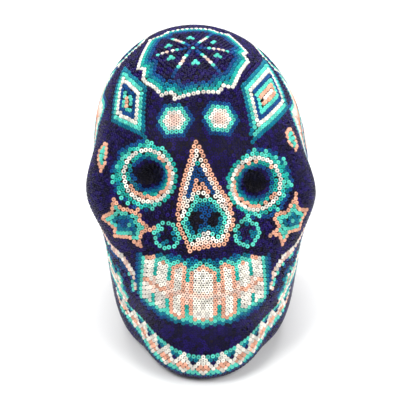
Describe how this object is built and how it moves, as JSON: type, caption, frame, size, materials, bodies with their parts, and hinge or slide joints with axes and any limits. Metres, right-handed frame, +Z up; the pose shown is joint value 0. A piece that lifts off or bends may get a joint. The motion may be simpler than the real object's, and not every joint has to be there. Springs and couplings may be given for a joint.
{
  "type": "beaded skull figure",
  "caption": "Hollow papier-mache skull with fused jaw and flat base, coated in wax and covered all over in glass seed beads set in star, diamond and flower motifs.",
  "frame": {"origin": "on the table plane, below the middle of the skull's length and width", "axes": "+Z up; the face looks along -Y; +X is to the right of somebody facing it"},
  "size_m": [0.1076, 0.1678, 0.1428],
  "materials": {
    "papier_mache": "matt, rough",
    "wax": "dark beeswax and resin, satin",
    "beads_navy": "glossy opaque glass seed beads",
    "beads_teal": "glossy opaque glass seed beads",
    "beads_turquoise": "glossy opaque glass seed beads",
    "beads_peach": "glossy opaque glass seed beads",
    "beads_white": "glossy opaque glass seed beads"
  },
  "bodies": {
    "root": {"back_star": "beads_turquoise", "base_panel": "papier_mache", "brow_roundel_left": "beads_turquoise", "brow_roundel_right": "beads_turquoise", "cheek_star_left": "beads_teal", "cheek_star_right": "beads_teal", "core_back": "papier_mache", "core_front": "papier_mache", "crown_medallion": "beads_navy", "eye_cup_left": "beads_navy", "eye_cup_right": "beads_navy", "eye_ring_left": "beads_teal", "eye_ring_right": "beads_teal", "ground_back": "beads_navy", "ground_chin": "beads_navy", "ground_crown": "beads_navy", "ground_face": "beads_navy", "ground_left": "beads_navy", "ground_right": "beads_navy", "jaw_edge_band": "beads_teal", "jaw_rim_band": "beads_white", "jaw_side_left": "beads_teal", "jaw_side_right": "beads_teal", "lower_teeth": "beads_white", "nose_arrow": "beads_peach", "nose_circle_left": "beads_navy", "nose_circle_right": "beads_navy", "nose_heart": "beads_teal", "rear_lozenge_left": "beads_turquoise", "rear_lozenge_right": "beads_turquoise", "side_flower_left": "beads_white", "side_flower_right": "beads_white", "temple_diamond_left": "beads_turquoise", "temple_diamond_right": "beads_turquoise", "temple_spot_left": "beads_peach", "temple_spot_right": "beads_peach", "upper_teeth": "beads_white", "wax_coat": "wax"}
  },
  "joints": []
}
